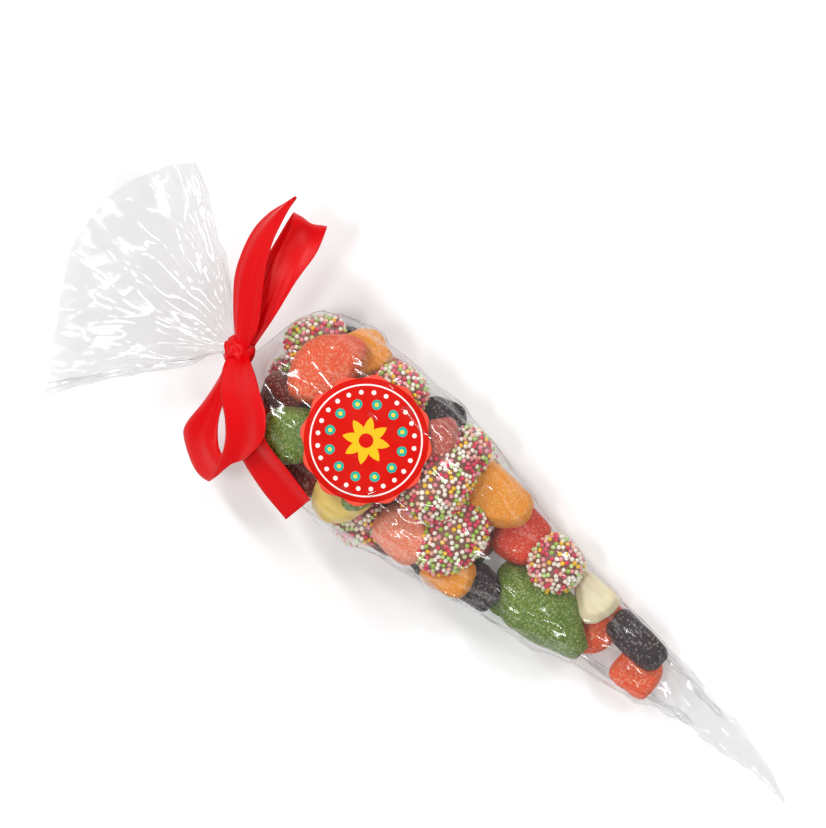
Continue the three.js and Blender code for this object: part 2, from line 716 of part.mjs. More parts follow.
const box = new THREE.Box3().setFromObject(group);
const centre = box.getCenter(new THREE.Vector3());
for (const mesh of group.children) mesh.geometry.translate(-centre.x, -centre.y, -box.min.z);

export default group;
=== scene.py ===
# %% [markdown]
# # A tied bag of mixed sweets
# The real object is a cone of clear film, full of sugared jellies, beaded discs and foam
# pieces. It lies on its side, its neck is gathered and tied with a satin bow, and a round
# sticker holds on the film. The frame gives every piece its place. So each piece here is
# either the frame's own mesh made finer, or a new mesh that follows the same sizes, and no
# sweet has to be placed by eye.

import json
import math

import bmesh
import bpy
import numpy as np
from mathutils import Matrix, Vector, noise
from mathutils.bvhtree import BVHTree

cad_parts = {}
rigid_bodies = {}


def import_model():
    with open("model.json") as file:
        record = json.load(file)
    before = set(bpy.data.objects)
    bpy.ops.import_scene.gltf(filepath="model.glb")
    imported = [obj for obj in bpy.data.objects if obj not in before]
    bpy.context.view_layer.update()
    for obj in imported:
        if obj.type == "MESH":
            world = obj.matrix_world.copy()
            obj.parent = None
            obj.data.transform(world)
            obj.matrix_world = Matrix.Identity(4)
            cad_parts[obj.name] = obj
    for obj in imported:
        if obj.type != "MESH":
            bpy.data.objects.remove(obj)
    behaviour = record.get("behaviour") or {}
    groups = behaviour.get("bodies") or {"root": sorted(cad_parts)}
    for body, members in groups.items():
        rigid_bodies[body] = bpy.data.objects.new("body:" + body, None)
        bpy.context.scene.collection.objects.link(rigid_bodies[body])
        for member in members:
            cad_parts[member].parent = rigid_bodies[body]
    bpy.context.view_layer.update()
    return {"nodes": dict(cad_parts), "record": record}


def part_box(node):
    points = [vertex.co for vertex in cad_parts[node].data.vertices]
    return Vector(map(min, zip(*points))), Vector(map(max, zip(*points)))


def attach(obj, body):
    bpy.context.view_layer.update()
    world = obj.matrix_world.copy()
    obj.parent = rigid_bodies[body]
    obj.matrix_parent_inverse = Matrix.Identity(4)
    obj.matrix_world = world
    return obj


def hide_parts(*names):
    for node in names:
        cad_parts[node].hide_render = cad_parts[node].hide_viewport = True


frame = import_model()
MM = 0.001
film_low, film_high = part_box("bag_film")
sticker_low, sticker_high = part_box("sticker")
POINT_X = film_high.x
STICKER_ALONG, STICKER_SIDE = 215.0, 6.3
SIDE_SHIFT = (sticker_low.y + sticker_high.y) / 2 - STICKER_SIDE * MM
print("nodes", len(frame["nodes"]), "bag length mm", round((film_high.x - film_low.x) / MM, 1))

# %% [markdown]
# ## The camera
# The photograph looks straight down on the bag with a long lens, and the bag's axis runs from
# the upper left to the lower right. The bag could be turned under the camera, but then it
# would leave the frame. So the camera is turned about its own line of sight, and it is far
# off, because a long lens flattens the view.

# %% Camera
MM_PER_PIXEL = 0.382
IMAGE_TALL = 828
AXIS_TURN = math.radians(39.3)
AIM_ALONG, AIM_SIDE = 207.7, 25.2  # the picture's middle, from the point and from the axis
CAMERA_HEIGHT = 1.5
SEEN_PLANE = 0.03  # half the bag's height, where the picture's scale is true
SENSOR_MM = 36.0
camera_data = bpy.data.cameras.new("camera")
camera_data.sensor_width = SENSOR_MM
seen_size = IMAGE_TALL * MM_PER_PIXEL * MM
camera_data.lens = SENSOR_MM * (CAMERA_HEIGHT - SEEN_PLANE) / seen_size
camera_data.clip_end = 20
camera = bpy.data.objects.new("camera", camera_data)
camera.location = (POINT_X - AIM_ALONG * MM, SIDE_SHIFT + AIM_SIDE * MM, CAMERA_HEIGHT)
camera.rotation_euler = (0, 0, AXIS_TURN)
bpy.context.scene.collection.objects.link(camera)
bpy.context.scene.camera = camera
bpy.context.scene.view_settings.view_transform = "Standard"
print("lens mm", round(camera_data.lens, 1))

# %% [markdown]
# ## Helpers
# Colours are picked on a screen as sRGB hex values, but a shader counts in linear light, so
# one function turns them. Materials are trees of nodes. Every node is added in the same way:
# its kind, then what goes into its sockets, a value or the output of another node, then its
# settings. A colour mix has its factor at socket 0 and its two colours at 6 and 7, and gives
# the mixed colour at 2.


# %% Colour and node helpers
def linear(hex_colour):
    """An sRGB hex colour as a linear RGBA tuple."""
    parts = [int(hex_colour[i : i + 2], 16) / 255 for i in (0, 2, 4)]
    return (*[c / 12.92 if c <= 0.04045 else ((c + 0.055) / 1.055) ** 2.4 for c in parts], 1.0)


def set_sockets(tree, node, inputs):
    """Puts a value on each named socket, or a link where another node's output is given."""
    for name, value in inputs.items():
        if isinstance(value, bpy.types.NodeSocket):
            tree.links.new(value, node.inputs[name])
        else:
            node.inputs[name].default_value = value


def add_node(tree, kind, inputs=None, **settings):
    """Adds a node with its settings, its values and its links."""
    node = tree.nodes.new(kind)
    for name, value in settings.items():
        setattr(node, name, value)
    set_sockets(tree, node, inputs or {})
    return node


def new_material(name):
    """An empty material: its tree, its principled shader and its output."""
    material = bpy.data.materials.new(name)
    material.use_nodes = True
    tree = material.node_tree
    return material, tree, tree.nodes["Principled BSDF"], tree.nodes["Material Output"]


def finish_piece(name, work, material):
    """Makes an object of a bmesh, gives it its material and lets it ride on the bag."""
    mesh = bpy.data.meshes.new(name)
    work.to_mesh(mesh)
    work.free()
    mesh.materials.append(material)
    for face in mesh.polygons:
        face.use_smooth = True
    piece = bpy.data.objects.new(name, mesh)
    bpy.context.scene.collection.objects.link(piece)
    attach(piece, "root")
    return piece


# %% [markdown]
# ## The table and the light
# The bag was photographed on white between soft boxes. The floor is a pale matt sheet. To
# read as white it could be lit harder, but then the sweets would burn out. So it glows a
# little, and only for rays that come from the camera, a mirror or glass, because then the
# glow doesn't light the bag from below. The shadow still shows on it.
# Narrow soft boxes are used, because clear film is only seen by what it reflects: each
# crease that faces a box gives a small white glare, where a wide box would veil it all.

# %% Floor
FLOOR_GLOW = 0.175
FLOOR_HALF = 4
# White paper board: fully matt, so that it shows no mirror image of the bag
floor_material, tree, shader, output = new_material("pale_table_sheet")
set_sockets(tree, shader, {
    "Base Color": linear("f2f2f2"), "Roughness": 0.9, "Specular IOR Level": 0.0})
rays = add_node(tree, "ShaderNodeLightPath")
seen = rays.outputs["Is Camera Ray"]
for kind in ("Is Glossy Ray", "Is Transmission Ray"):
    either = add_node(tree, "ShaderNodeMath", {0: seen, 1: rays.outputs[kind]},
                      operation="MAXIMUM")
    seen = either.outputs[0]
glow_level = add_node(tree, "ShaderNodeMath", {0: seen, 1: FLOOR_GLOW}, operation="MULTIPLY")
glow = add_node(tree, "ShaderNodeEmission", {"Strength": glow_level.outputs[0]})
both = add_node(tree, "ShaderNodeAddShader", {0: shader.outputs[0], 1: glow.outputs[0]})
tree.links.new(both.outputs[0], output.inputs["Surface"])
work = bmesh.new()
bmesh.ops.create_grid(work, x_segments=1, y_segments=1, size=FLOOR_HALF)
floor = bpy.data.meshes.new("table")
work.to_mesh(floor)
work.free()
floor.materials.append(floor_material)
table = bpy.data.objects.new("table", floor)
table.location.z = -0.5 * MM  # a hair under the bag, so that the two never share a plane
bpy.context.scene.collection.objects.link(table)
print("floor m", 2 * FLOOR_HALF)

# %% Soft boxes and surroundings
world = bpy.data.worlds.new("studio")
bpy.context.scene.world = world
world.use_nodes = True
set_sockets(world.node_tree, world.node_tree.nodes["Background"],
            {"Color": linear("ffffff"), "Strength": 0.31})
# Each box: its place and its two sizes in metres, and its power in watts
SOFT_BOXES = {
    "left_box": ((-1.1, 0.2, 1.2), (0.14, 0.7), 10.8),
    "near_box": ((0.5, -0.95, 1.1), (0.6, 0.12), 4.3),
    "far_box": ((0.2, 1.05, 1.1), (0.6, 0.12), 6.1),
    "top_box": ((-0.35, -0.35, 1.5), (0.3, 0.12), 5.6),
}
for name, (place, (wide, tall), power) in SOFT_BOXES.items():
    lamp = bpy.data.lights.new(name, "AREA")
    lamp.shape = "RECTANGLE"
    lamp.size, lamp.size_y, lamp.energy = wide, tall, power
    box = bpy.data.objects.new(name, lamp)
    box.location = place
    box.rotation_euler = (-Vector(place)).to_track_quat("-Z", "Y").to_euler()
    bpy.context.scene.collection.objects.link(box)
print("soft boxes", len(SOFT_BOXES))

# %% [markdown]
# ## Sugared fruit jellies
# A fruit jelly is cast pectin, rolled in sugar while it is moist. The crystals stay
# separate, so the skin shows light grains over a deeper colour, and a few of them sparkle:
# that sparkle is a painted highlight, a few grains painted paler towards clean sugar.
# Real grains could be scattered as small meshes, but tens of thousands of them would cost
# far more than they show. A Voronoi pattern with cells as wide as a crystal gives the same
# view: its distance from each cell's middle is the grain's height, and its random colour
# picks the grains that get the painted glint.

# %% Sugar-coated jelly
GRAIN_MM = 0.8  # sugar crystals are 0.5 to 0.8 mm
PATCH_MM = 7  # the coat is thick and thin in patches of this size
CLEAN_SUGAR = "ffeed8"
# How far a picked grain is painted towards clean sugar, as a painted glint
GLINT_PAINT_SHARE = 0.3  # how far a sparkling grain goes towards clean sugar


def sugared_jelly(name, deep, light):
    """Pectin jelly in a coat of sugar crystals: deep colour in the gaps, light on the grains, and
    a painted glint on a few grains.
    """
    material, tree, shader, _ = new_material(name)
    place = add_node(tree, "ShaderNodeTexCoord").outputs["Object"]
    grain = add_node(tree, "ShaderNodeTexVoronoi", {"Vector": place, "Scale": 1 / (GRAIN_MM * MM)})
    patch = add_node(tree, "ShaderNodeTexNoise", {
        "Vector": place, "Scale": 1 / (PATCH_MM * MM), "Detail": 3.0})
    height = add_node(tree, "ShaderNodeMapRange", {
        "Value": grain.outputs["Distance"], "From Min": 0.1, "From Max": 0.75,
        "To Min": 1.0, "To Max": 0.0}).outputs[0]
    coat = add_node(tree, "ShaderNodeMath", {0: height, 1: patch.outputs["Fac"]},
                    operation="MULTIPLY")
    tint = add_node(tree, "ShaderNodeMix", {
        0: coat.outputs[0], 6: linear(deep), 7: linear(light)}, data_type="RGBA")
    chance = add_node(tree, "ShaderNodeSeparateColor", {"Color": grain.outputs["Color"]})
    # Grains picked by their random colour get a painted highlight: a glint painted into the base
    # colour
    chosen = add_node(tree, "ShaderNodeMath", {0: chance.outputs[0], 1: 0.7},
                      operation="GREATER_THAN")
    painted_glint = add_node(tree, "ShaderNodeMath", {0: chosen.outputs[0], 1: height},
                       operation="MULTIPLY")
    some = add_node(tree, "ShaderNodeMath", {0: painted_glint.outputs[0], 1: GLINT_PAINT_SHARE},
                    operation="MULTIPLY")
    colour = add_node(tree, "ShaderNodeMix", {
        0: some.outputs[0], 6: tint.outputs[2], 7: linear(CLEAN_SUGAR)}, data_type="RGBA")
    bump = add_node(tree, "ShaderNodeBump", {
        "Height": height, "Strength": 0.7, "Distance": 0.35 * MM})
    rough = add_node(tree, "ShaderNodeMapRange", {
        "Value": chance.outputs[1], "To Min": 0.35, "To Max": 0.75})
    set_sockets(tree, shader, {
        "Base Color": colour.outputs[2], "Normal": bump.outputs[0],
        "Roughness": rough.outputs[0], "Subsurface Weight": 0.12,
        "Subsurface Radius": (3.0, 1.6, 0.8), "Subsurface Scale": 1.0 * MM})
    return material


JELLY = {
    "sugar_orange": sugared_jelly("sugared_jelly_orange", "f0480a", "ff9a5c"),
    "sugar_red": sugared_jelly("sugared_jelly_red", "d82c06", "ff6e3c"),
    "sugar_amber": sugared_jelly("sugared_jelly_amber", "f49000", "ffc944"),
    "sugar_green": sugared_jelly("sugared_jelly_green", "4e7208", "b4c850"),
    "sugar_dark_red": sugared_jelly("sugared_jelly_dark_red", "5c0c06", "b04a34"),
    "sugar_purple": sugared_jelly("sugared_jelly_purple", "1a0812", "523446"),
    "sugar_rose": sugared_jelly("sugared_jelly_rose", "b84434", "f29a86"),
    "sugar_salmon": sugared_jelly("sugared_jelly_salmon", "f47c58", "ffc8ac"),
}
print("jelly colours", len(JELLY))

# %% [markdown]
# ## Foam sugar and chocolate
# Foam pieces are whipped sugar dusted with starch: smooth, pale and almost without shine.
# One slow noise for the colour and one fine noise for the dust are enough. The discs are
# milk chocolate under a layer of sugar beads. Only the darker gaps between the beads show
# the chocolate, so it gets no pattern beyond a slight change of colour.


# %% Foam sugar
def foam_sugar(name, pale, shade):
    """Whipped sugar foam: a matt pale skin with slow changes of colour."""
    material, tree, shader, _ = new_material(name)
    place = add_node(tree, "ShaderNodeTexCoord").outputs["Object"]
    cloud = add_node(tree, "ShaderNodeTexNoise", {
        "Vector": place, "Scale": 1 / (9 * MM), "Detail": 4.0})
    tint = add_node(tree, "ShaderNodeMix", {
        0: cloud.outputs["Fac"], 6: linear(pale), 7: linear(shade)}, data_type="RGBA")
    dust = add_node(tree, "ShaderNodeTexNoise", {
        "Vector": place, "Scale": 1 / (0.8 * MM), "Detail": 2.0})
    bump = add_node(tree, "ShaderNodeBump", {
        "Height": dust.outputs["Fac"], "Strength": 0.15, "Distance": 0.1 * MM})
    set_sockets(tree, shader, {
        "Base Color": tint.outputs[2], "Normal": bump.outputs[0], "Roughness": 0.55,
        "Subsurface Weight": 0.15, "Subsurface Radius": (2.0, 1.6, 1.0),
        "Subsurface Scale": 1.0 * MM})
    return material


FOAM = {
    "foam_cream": foam_sugar("foam_sugar_cream", "fdf3d2", "f3dfae"),
    "foam_yellow": foam_sugar("foam_sugar_yellow", "f6df84", "e9c24c"),
}
print("foam colours", len(FOAM))

# %% Milk chocolate
# Chocolate set in a mould: a half-dull brown, paler where the cocoa butter has come up
chocolate, tree, shader, _ = new_material("milk_chocolate")
place = add_node(tree, "ShaderNodeTexCoord").outputs["Object"]
mottle = add_node(tree, "ShaderNodeTexNoise", {"Vector": place, "Scale": 1 / (2 * MM)})
tint = add_node(tree, "ShaderNodeMix", {
    0: mottle.outputs["Fac"], 6: linear("6e3c30"), 7: linear("a06c5c")}, data_type="RGBA")
set_sockets(tree, shader, {"Base Color": tint.outputs[2], "Roughness": 0.5})

# %% [markdown]
# ## The shapes of the sweets
# The frame's solids have the right place and bulk with flat faces, because they are also
# simulated. Each is copied, its loose triangles are merged, and a few rounds of cutting
# every edge and smoothing every point round it off. A subdivision modifier could do the
# same, but it would shrink the sweet, and here the lost volume is given back. In the bag
# the sweets press on each other and on the film, so each one also fills the gap to the
# film beside it.

# %% Round the sweets
slot_of = {row["node"]: row["material_slot"] for row in frame["record"]["subparts"]}
NOT_SWEETS = {"bag_film", "ribbon", "sticker"}
SOFTNESS = (0.12, 0.3, 0.45)  # how much each round of smoothing takes off the edges
PLUMP, PLUMP_HIDDEN = 1.12, 1.06


def rounded_copy(node, steps, plump):
    """The frame's sweet with its triangles merged, subdivided and rounded."""
    work = bmesh.new()
    work.from_mesh(frame["nodes"][node].data)
    bmesh.ops.remove_doubles(work, verts=work.verts, dist=0.01 * MM)
    before = work.calc_volume()
    for softness in SOFTNESS[:steps]:
        bmesh.ops.subdivide_edges(work, edges=work.edges, cuts=1, use_grid_fill=True)
        bmesh.ops.smooth_vert(work, verts=work.verts, factor=softness, use_axis_x=True,
                              use_axis_y=True, use_axis_z=True)
    middle = sum((v.co for v in work.verts), Vector()) / len(work.verts)
    grow = (before / work.calc_volume()) ** (1 / 3)
    for v in work.verts:
        away = (v.co - middle) * grow
        v.co = middle + Vector((away.x * plump, away.y * plump, away.z))
    work.normal_update()
    return work


# %% Press the sweets out to the film
WALL_ROOM = 1.6 * MM
PRESS_SHARE = 0.8
FAR_FROM_WALL = 13 * MM  # a sweet with more room than this doesn't reach the film
LUMP_HIGH, LUMP_WIDE = 0.35 * MM, 5 * MM


def pressed_out(work, wall):
    """Lets a sweet fill the room between its outer side and the film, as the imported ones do."""
    middle = sum((v.co for v in work.verts), Vector()) / len(work.verts)
    half = max(abs(v.co.y - middle.y) for v in work.verts)
    for side in (-1, 1):
        way = Vector((0, side, 0))
        hit = wall.ray_cast(middle, way)[3]
        if hit is None or hit - half > FAR_FROM_WALL:
            continue
        for v in work.verts:
            share = (v.co.y - middle.y) * side / half
            gap = wall.ray_cast(v.co, way)[3] if share > 0 else None
            if gap is not None and gap > WALL_ROOM:
                v.co.y += side * share * PRESS_SHARE * (gap - WALL_ROOM)


def lumpy(work, seed):
    """Moves each point along its normal by a smooth noise, because no two jellies are alike."""
    shift = Vector((seed * 3.7, seed * 1.3, seed * 2.1))
    for v in work.verts:
        v.co += v.normal * LUMP_HIGH * noise.noise(v.co / LUMP_WIDE + shift)


# %% All the sweets
sweets = sorted(n for n in frame["nodes"] if n not in NOT_SWEETS)
film_shell = bmesh.new()
film_shell.from_mesh(frame["nodes"]["bag_film"].data)
film_wall = BVHTree.FromBMesh(film_shell)
film_shell.free()
for number, node in enumerate(sweets):
    slot = slot_of[node]
    hidden = node.startswith("inner")
    work = rounded_copy(node, 2 if hidden else 3, PLUMP_HIDDEN if hidden else PLUMP)
    pressed_out(work, film_wall)
    if slot in JELLY:
        lumpy(work, number)
    material = JELLY.get(slot) or FOAM.get(slot) or chocolate
    piece = finish_piece(f"{node}_coated", work, material)
    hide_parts(node)
print("sweets", len(sweets))

# %% [markdown]
# ## Sugar beads
# Each disc is pressed into a tray of sugar beads, 1.8 mm across, in white, yellow, greens and
# pinks. A particle system could scatter them, but it wouldn't keep them apart, and real
# beads pack closely without a pattern. So points are thrown on the disc at random and kept
# only where they are a bead apart from the others. All the beads of a disc are one mesh,
# each is a ball of only 80 faces, and each carries its colour as an attribute, so that one
# material serves all.

# %% Bead material
BEAD_COLOURS = ["fff8e8", "fff8e8", "fff8e8", "ffca20", "a8d050", "d0e898", "e83c5c",
                "e83c5c", "f898a8", "fcc0a8"]
# Hard sugar, tumbled smooth in a pan: an even colour with one small soft highlight on each
beads_material, tree, shader, _ = new_material("hard_sugar_beads")
tone = add_node(tree, "ShaderNodeAttribute", attribute_name="bead_colour")
set_sockets(tree, shader, {
    "Base Color": tone.outputs["Color"], "Roughness": 0.35, "Coat Weight": 0.2})

# %% Throw the beads
BEAD_RADIUS = 0.93 * MM
BEAD_PITCH = 1.6 * MM
BEAD_STAND_OFF = 0.25 * MM  # how far a bead's middle stands off the chocolate
BEAD_THROWS = 5200
BEAD_SEED = 50


def bead_points(piece, rng):
    """Points on a mesh, each at least a bead's pitch from the others."""
    mesh = piece.data
    mesh.calc_loop_triangles()
    points = np.zeros(len(mesh.vertices) * 3)
    mesh.vertices.foreach_get("co", points)
    points = points.reshape(-1, 3)
    triangles = np.array([t.vertices for t in mesh.loop_triangles])
    a, b, c = points[triangles[:, 0]], points[triangles[:, 1]], points[triangles[:, 2]]
    cross = np.cross(b - a, c - a)
    area = np.linalg.norm(cross, axis=1)
    pick = rng.choice(len(triangles), BEAD_THROWS, p=area / area.sum())
    u, v = rng.random(BEAD_THROWS), rng.random(BEAD_THROWS)
    flip = u + v > 1
    u[flip], v[flip] = 1 - u[flip], 1 - v[flip]
    thrown = a[pick] + u[:, None] * (b - a)[pick] + v[:, None] * (c - a)[pick]
    facing = cross[pick] / area[pick][:, None]
    kept = [0]
    for i in range(1, BEAD_THROWS):
        if ((thrown[kept] - thrown[i]) ** 2).sum(axis=1).min() > BEAD_PITCH**2:
            kept.append(i)
    return thrown[kept], facing[kept]


def bead_layer(piece, name, seed):
    """One small ball for every point, all in one mesh, with a colour for each ball."""
    rng = np.random.default_rng(seed)
    places, facing = bead_points(piece, rng)
    work = bmesh.new()
    layer = work.verts.layers.float_color.new("bead_colour")
    for place, out in zip(places, facing):
        made = bmesh.ops.create_icosphere(work, subdivisions=2, radius=BEAD_RADIUS)["verts"]
        bmesh.ops.translate(work, verts=made, vec=Vector(place + out * BEAD_STAND_OFF))
        tone = linear(BEAD_COLOURS[rng.integers(len(BEAD_COLOURS))])
        for v in made:
            v[layer] = tone
    print(name, len(places), "beads")
    return finish_piece(name, work, beads_material)


for number, node in enumerate(n for n in sweets if slot_of[n] == "sugar_beads"):
    bead_layer(bpy.data.objects[f"{node}_coated"], f"{node}_beads", BEAD_SEED + number)

# %% [markdown]
# ## The film
# The bag is one sheet of clear film, so it is one mesh: a ring is extruded from station to
# station, along the cone, through the gathered neck and out into the fan. A cloth
# simulation could do it too, but it would never come out twice the same. The rings start on
# the sizes of the frame's film. Later the part round the sweets is pulled in a little, and
# straight creases come last.

# %% Stations of the film
# Along the bag from its point: the right and left edge, the underside and the top, all mm
BAG_SECTIONS = np.array([
    (0, -0.6, 0.6, 0, 1.2), (8.8, 0.5, 4.6, 0, 1.8), (18, 1.2, 7.6, -0.2, 3),
    (30.6, -0.4, 11.2, -0.6, 6), (44.7, -1.8, 13.8, -1.2, 11), (61.9, -4.8, 18, -2, 19.5),
    (85.6, -10.2, 20.8, -3, 27), (113.8, -15.7, 24.6, -3, 34), (147, -21.2, 30.3, -3, 43),
    (177.6, -26.2, 38, -3.5, 52), (196, -29, 40.8, -3.5, 56), (219.7, -30.9, 41.4, -3.5, 58),
    (236.8, -30.2, 41.6, -3.5, 58), (246.4, -28.3, 41.2, -3, 56.5), (254, -23.8, 38.6, -0.5, 53),
    (260.9, -16, 31.5, 4, 46), (265.5, -8.4, 24.4, 13, 39), (269.5, -3, 6, 21.5, 30.5),
])
NECK_START, NECK_END, NECK_SIDE, NECK_HEIGHT, NECK_RADIUS = 269.5, 279.3, 1.5, 26.0, 4.5
GATHER_START, GATHER_LONG = 236, 33  # the film pleats towards the neck from here
FAN_MIDDLE, FAN_HALF = math.radians(-6.5), math.radians(45.5)
FAN_MOUTH = np.array([66.5, 69, 72, 70, 66, 66, 73, 68, 66, 73, 81, 74])
MOUTH_HEIGHT, MOUTH_HALF = 17, 14
SQUARENESS = 0.88
AROUND = 200
SEAM_AT = 2.75  # the weld lies on top, near the right edge
turn = SEAM_AT + np.arange(AROUND) * 2 * math.pi / AROUND
cosine, sine = np.cos(turn), np.sin(turn)


# %% Rings of the bag, the neck and the fan
def full(v):
    """A cosine or sine made fuller at the corners, so that the section isn't a plain oval."""
    return np.sign(v) * np.abs(v) ** SQUARENESS


def bag_ring(along):
    """The points of one section of the filled bag, in millimetres along, side and height."""
    right, left, low, high = (np.interp(along, BAG_SECTIONS[:, 0], BAG_SECTIONS[:, k])
                              for k in (1, 2, 3, 4))
    near_neck = np.clip((along - GATHER_START) / GATHER_LONG, 0, 1) ** 2
    pleat = 1 + 0.05 * near_neck * np.cos(9 * turn) + 0.03 * near_neck * np.sin(23 * turn)
    side = (left + right) / 2 + (left - right) / 2 * full(cosine) * pleat
    height = np.maximum((high + low) / 2 + (high - low) / 2 * full(sine) * pleat, 0)
    return np.stack([np.full(AROUND, along), side, height], axis=1)


def neck_ring(along):
    """The points of one section of the gathered neck, with its eighteen pleats."""
    pleat = NECK_RADIUS * (1 + 0.07 * np.cos(18 * turn))
    return np.stack([np.full(AROUND, along), NECK_SIDE + pleat * cosine,
                     NECK_HEIGHT + pleat * sine], axis=1)


def fan_ring(share):
    """One ring of the free film, from the neck at share 0 to the open mouth at share 1."""
    middle = NECK_HEIGHT + (MOUTH_HEIGHT - NECK_HEIGHT) * share
    half = NECK_RADIUS + (MOUTH_HALF - NECK_RADIUS) * share**0.8
    mouth = np.interp(turn % (2 * math.pi), np.arange(13) * math.pi / 6,
                      np.append(FAN_MOUTH, FAN_MOUTH[0]))
    reach = share * mouth
    bearing = FAN_MIDDLE + FAN_HALF * cosine
    fold = 1 + 0.16 * np.sin(5 * turn + share) + 0.06 * np.sin(17 * turn + 2 * share)
    return np.stack([NECK_END + reach * np.cos(bearing),
                     NECK_SIDE + NECK_RADIUS * cosine + reach * np.sin(bearing),
                     middle + half * sine * fold], axis=1)


# %% Lay out all the rings
stations = [bag_ring(a) for a in np.linspace(0, 266, 190)]
BAG_RINGS = len(stations)
stations += [neck_ring(a) for a in np.linspace(NECK_START, NECK_END, 8)]
stations += [fan_ring(s) for s in np.linspace(0.03, 1, 58)]
skin = np.array(stations)
skin = np.stack([POINT_X - skin[:, :, 0] * MM, skin[:, :, 1] * MM + SIDE_SHIFT,
                 skin[:, :, 2] * MM], axis=2)
print("film rings", len(skin), "points", skin.shape[0] * skin.shape[1])

# %% [markdown]
# ## The film over the sweets
# Film in a filled bag is stretched over the lumps under it. So the rings are smoothed like
# a stretched skin, pulled in a little and pushed back off the sweets, again and again, and
# bridge the gaps between the sweets as real film does.


# %% Draw the film in over the sweets
def outward(grid):
    """Normals of a grid of rings, which all point to the same side of the film."""
    along = np.gradient(grid, axis=0)
    round_it = np.roll(grid, -1, axis=1) - np.roll(grid, 1, axis=1)
    normal = np.cross(along, round_it)
    normal /= np.linalg.norm(normal, axis=2, keepdims=True) + 1e-12
    return normal


joined = bmesh.new()
for node in sweets:
    joined.from_mesh(bpy.data.objects[f"{node}_coated"].data)
sweets_tree = BVHTree.FromBMesh(joined)
joined.free()
middle_of_rings = skin.mean(axis=1, keepdims=True)
OUT = 1 if ((skin - middle_of_rings) * outward(skin)).sum() > 0 else -1
CLEAR = 1.0 * MM  # room for the beads between a disc and the film
SLACK = 1.6 * MM  # how far the film is drawn in at most
NEAREST = 8 * MM  # a sweet further off than this leaves the film alone
DRAW_FROM, DRAW_TO = 30, BAG_RINGS - 8  # the rings that lie over sweets


def keep_off(grid, room):
    """Pushes the points of the rings over the sweets out of the sweets."""
    for r in range(DRAW_FROM, DRAW_TO):
        for i in range(AROUND):
            point = Vector(grid[r, i])
            spot, normal, _, away = sweets_tree.find_nearest(point, NEAREST)
            if spot is None:
                continue
            inside = (point - spot).dot(normal) < 0
            if inside or away < room:
                grid[r, i] = spot + normal * room


def ramp(start, long):
    """For each ring: 0 up to the start, then up to 1 over the given number of rings."""
    return np.clip((np.arange(len(skin)) - start) / long, 0, 1)


# %% Draw the film in, round by round
ROUNDS = 12
STEP_IN = 0.45 * MM
STIFF = 0.6  # how far each round moves a point towards its neighbours
weight = (ramp(24, 30) * (1 - ramp(BAG_RINGS - 18, 12)))[:, None, None]
start = skin.copy()
for _ in range(ROUNDS):
    around = (np.roll(skin, 1, axis=1) + np.roll(skin, -1, axis=1)) / 2
    along = skin.copy()
    along[1:-1] = (skin[2:] + skin[:-2]) / 2
    skin = skin + weight * STIFF * ((around + along) / 2 - skin)
    skin = skin - weight * OUT * outward(skin) * STEP_IN
    moved = skin - start
    far = np.linalg.norm(moved, axis=2, keepdims=True)
    skin = start + moved * np.minimum(1, SLACK / np.maximum(far, 1e-9))
    keep_off(skin, CLEAR)
    skin[:, :, 2] = np.maximum(skin[:, :, 2], 0)
print("film drawn in, mm", round(float(np.linalg.norm(skin - start, axis=2).max() / MM), 2))

# %% [markdown]
# ## The creases
# Stiff film doesn't crumple in round bumps like a noise. It breaks into flat faces with
# straight ridges between them. A sum of triangle waves in a few random directions gives
# that: long folds along the bag, rays that spread from the neck over the fan, and small
# crumples at the empty tip.


# %% Creases
def creases(points, wave_mm, slope, seed, count):
    """Height of straight folds: triangle waves in many directions, with flat faces between."""
    rng = np.random.default_rng(seed)
    total = np.zeros(points.shape[:2])
    for _ in range(count):
        way = rng.normal(size=3)
        way /= np.linalg.norm(way)
        wave = wave_mm * rng.uniform(0.6, 1.7) * MM
        phase = points @ way / wave + rng.uniform()
        bend = 0.35 * np.sin(points @ rng.normal(size=3) / (2.5 * wave) + rng.uniform() * 6)
        saw = np.abs((phase + bend) % 1 - 0.5) * 2
        total += (saw - 0.5) * wave * slope / 2
    return total / math.sqrt(count)


# %% Fold the film
LONG_FOLDS = np.array([0.35, 1, 1])  # folds on the bag run three times as long as wide
RAY_WIDE, RAY_LONG = 26 * MM, 0.4 * MM  # folds on the fan change around it, hardly along it
# Where each kind of fold lies, told by the ring's number
on_fan = ramp(BAG_RINGS + 6, 10)[:, None]
on_tip = 1 - ramp(42, 14)[:, None]
on_bag = ramp(40, 16)[:, None] * (1 - on_fan)
drawn_long = skin * LONG_FOLDS
past_bag = np.arange(len(skin))[:, None] - BAG_RINGS
radial = np.stack(np.broadcast_arrays(turn[None, :] * RAY_WIDE, past_bag * RAY_LONG, 0.0), axis=2)
# Each kind of fold: its points, wave in mm, slope, seed, directions, and its strength
FOLDS = [
    (drawn_long, 8.5, 0.36, 1, 6, on_bag),
    (drawn_long, 3.5, 0.34, 2, 6, on_bag * 0.7),
    (skin, 24, 0.3, 3, 6, on_fan),
    (radial, 8, 0.42, 4, 7, on_fan),
    (radial, 3, 0.3, 6, 6, on_fan * 0.6),
    (skin, 8, 0.5, 5, 6, on_tip),
    (skin, 3, 0.5, 8, 6, on_tip * 0.5),
]
# The neck is pulled tight and the point is narrow, so folds die out towards both
from_neck = np.abs(past_bag - 4)
half_width = np.ptp(skin[:, :, 1], axis=1)[:, None] / 2
calm = np.clip(from_neck / 8, 0, 1) * np.clip(half_width / (9 * MM), 0.05, 1)
fold = calm * sum(strength * creases(points, wave, slope, seed, count)
                  for points, wave, slope, seed, count, strength in FOLDS)
skin = skin + OUT * outward(skin) * fold[:, :, None]
keep_off(skin, 0.9 * CLEAR)
skin[:, :, 2] = np.maximum(skin[:, :, 2], 0.2 * MM)
print("highest fold mm", round(float(np.abs(fold).max() / MM), 1))

